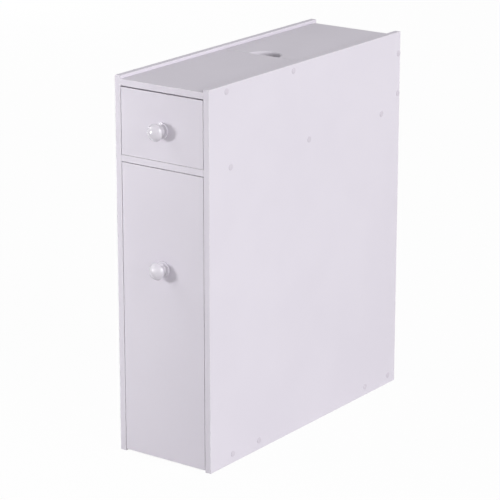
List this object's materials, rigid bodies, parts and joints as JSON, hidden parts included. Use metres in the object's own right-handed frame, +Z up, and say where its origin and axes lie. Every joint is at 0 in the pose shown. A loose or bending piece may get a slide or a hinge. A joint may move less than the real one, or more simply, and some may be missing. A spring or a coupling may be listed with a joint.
{
  "type": "bathroom cabinet",
  "caption": "Slim free-standing white bathroom cabinet with an inset drawer, a tall pull-out with shelves, and a hinged rear top lid with a paper notch.",
  "frame": {"origin": "on the floor under the middle of the cabinet, measured over its knobs", "axes": "+X to the cabinet's right, -Y out of its front, +Z up"},
  "size_m": [0.1716, 0.525, 0.58],
  "materials": {
    "white_board": "satin white paint on fibreboard",
    "thin_panel": "white faced hardboard",
    "knob_gloss": "gloss white",
    "cap_plastic": "matte pale grey white",
    "nylon": "natural nylon",
    "coated_steel": "white epoxy powder coat",
    "zinc_steel": "bright zinc plate",
    "beech_dowel": "plain fluted beech"
  },
  "bodies": {
    "carcass": {"left_side_panel": "white_board", "right_side_panel": "white_board", "top_panel": "white_board", "divider_panel": "white_board", "upper_back_board": "white_board", "front_bottom_rail": "white_board", "rear_bottom_rail": "white_board", "compartment_partition": "thin_panel", "lower_back_panel": "thin_panel", "carcass_screws": "zinc_steel", "screw_cover_caps": "cap_plastic", "lid_pivot_bushes": "nylon", "lid_rest_pegs": "nylon", "cabinet_roller_rivets": "zinc_steel", "cabinet_runner_screws": "zinc_steel", "drawer_left_cabinet_runner": "coated_steel", "drawer_right_cabinet_runner": "coated_steel", "pullout_left_cabinet_runner": "coated_steel", "pullout_right_cabinet_runner": "coated_steel"},
    "lid": {"rear_lid": "white_board", "lid_pivot_pins": "zinc_steel"},
    "drawer": {"drawer_back": "white_board", "drawer_bottom": "thin_panel", "drawer_dowels": "beech_dowel", "drawer_front": "white_board", "drawer_knob": "knob_gloss", "drawer_knob_screw": "zinc_steel", "drawer_left_runner": "coated_steel", "drawer_left_side": "white_board", "drawer_right_runner": "coated_steel", "drawer_right_side": "white_board", "drawer_roller_rivets": "zinc_steel", "drawer_runner_screws": "zinc_steel", "drawer_screws": "zinc_steel"},
    "pullout": {"pullout_back": "white_board", "pullout_dowels": "beech_dowel", "pullout_front": "white_board", "pullout_knob": "knob_gloss", "pullout_knob_screw": "zinc_steel", "pullout_left_runner": "coated_steel", "pullout_lower_left_guard": "white_board", "pullout_lower_right_guard": "white_board", "pullout_lower_shelf": "white_board", "pullout_right_runner": "coated_steel", "pullout_roller_rivets": "zinc_steel", "pullout_runner_screws": "zinc_steel", "pullout_screws": "zinc_steel", "pullout_upper_left_guard": "white_board", "pullout_upper_right_guard": "white_board", "pullout_upper_shelf": "white_board"},
    "drawer_left_front_roller": {"drawer_left_front_roller": "nylon"},
    "drawer_left_rear_roller": {"drawer_left_rear_roller": "nylon"},
    "drawer_right_front_roller": {"drawer_right_front_roller": "nylon"},
    "drawer_right_rear_roller": {"drawer_right_rear_roller": "nylon"},
    "pullout_left_front_roller": {"pullout_left_front_roller": "nylon"},
    "pullout_left_rear_roller": {"pullout_left_rear_roller": "nylon"},
    "pullout_right_front_roller": {"pullout_right_front_roller": "nylon"},
    "pullout_right_rear_roller": {"pullout_right_rear_roller": "nylon"}
  },
  "joints": [
    {"name": "lid_hinge", "type": "hinge", "parent": "carcass", "child": "lid", "pos_m": [0, 0.2545, 0.5705], "axis": [-1, 0, 0], "range_deg": [0, 100]},
    {"name": "drawer_slide", "type": "slide", "parent": "carcass", "child": "drawer", "axis": [0, -1, 0], "range_m": [0, 0.15]},
    {"name": "pullout_slide", "type": "slide", "parent": "carcass", "child": "pullout", "axis": [0, -1, 0], "range_m": [0, 0.35]},
    {"name": "drawer_left_front_roller_spin", "type": "hinge", "parent": "carcass", "child": "drawer_left_front_roller", "pos_m": [-0.0708, -0.2135, 0.483], "axis": [1, 0, 0], "continuous": true},
    {"name": "drawer_left_rear_roller_spin", "type": "hinge", "parent": "drawer", "child": "drawer_left_rear_roller", "pos_m": [-0.0667, -0.0375, 0.483], "axis": [1, 0, 0], "continuous": true},
    {"name": "drawer_right_front_roller_spin", "type": "hinge", "parent": "carcass", "child": "drawer_right_front_roller", "pos_m": [0.0708, -0.2135, 0.483], "axis": [1, 0, 0], "continuous": true},
    {"name": "drawer_right_rear_roller_spin", "type": "hinge", "parent": "drawer", "child": "drawer_right_rear_roller", "pos_m": [0.0667, -0.0375, 0.483], "axis": [1, 0, 0], "continuous": true},
    {"name": "pullout_left_front_roller_spin", "type": "hinge", "parent": "carcass", "child": "pullout_left_front_roller", "pos_m": [-0.0708, -0.2135, 0.04], "axis": [1, 0, 0], "continuous": true},
    {"name": "pullout_left_rear_roller_spin", "type": "hinge", "parent": "pullout", "child": "pullout_left_rear_roller", "pos_m": [-0.0667, 0.1625, 0.04], "axis": [1, 0, 0], "continuous": true},
    {"name": "pullout_right_front_roller_spin", "type": "hinge", "parent": "carcass", "child": "pullout_right_front_roller", "pos_m": [0.0708, -0.2135, 0.04], "axis": [1, 0, 0], "continuous": true},
    {"name": "pullout_right_rear_roller_spin", "type": "hinge", "parent": "pullout", "child": "pullout_right_rear_roller", "pos_m": [0.0667, 0.1625, 0.04], "axis": [1, 0, 0], "continuous": true}
  ],
  "couplings": [
    {"joint": "drawer_left_front_roller_spin", "follows": "drawer_slide", "rad_per_m": 105.26},
    {"joint": "drawer_left_rear_roller_spin", "follows": "drawer_slide", "rad_per_m": 105.26},
    {"joint": "drawer_right_front_roller_spin", "follows": "drawer_slide", "rad_per_m": 105.26},
    {"joint": "drawer_right_rear_roller_spin", "follows": "drawer_slide", "rad_per_m": 105.26},
    {"joint": "pullout_left_front_roller_spin", "follows": "pullout_slide", "rad_per_m": 105.26},
    {"joint": "pullout_left_rear_roller_spin", "follows": "pullout_slide", "rad_per_m": 105.26},
    {"joint": "pullout_right_front_roller_spin", "follows": "pullout_slide", "rad_per_m": 105.26},
    {"joint": "pullout_right_rear_roller_spin", "follows": "pullout_slide", "rad_per_m": 105.26}
  ]
}
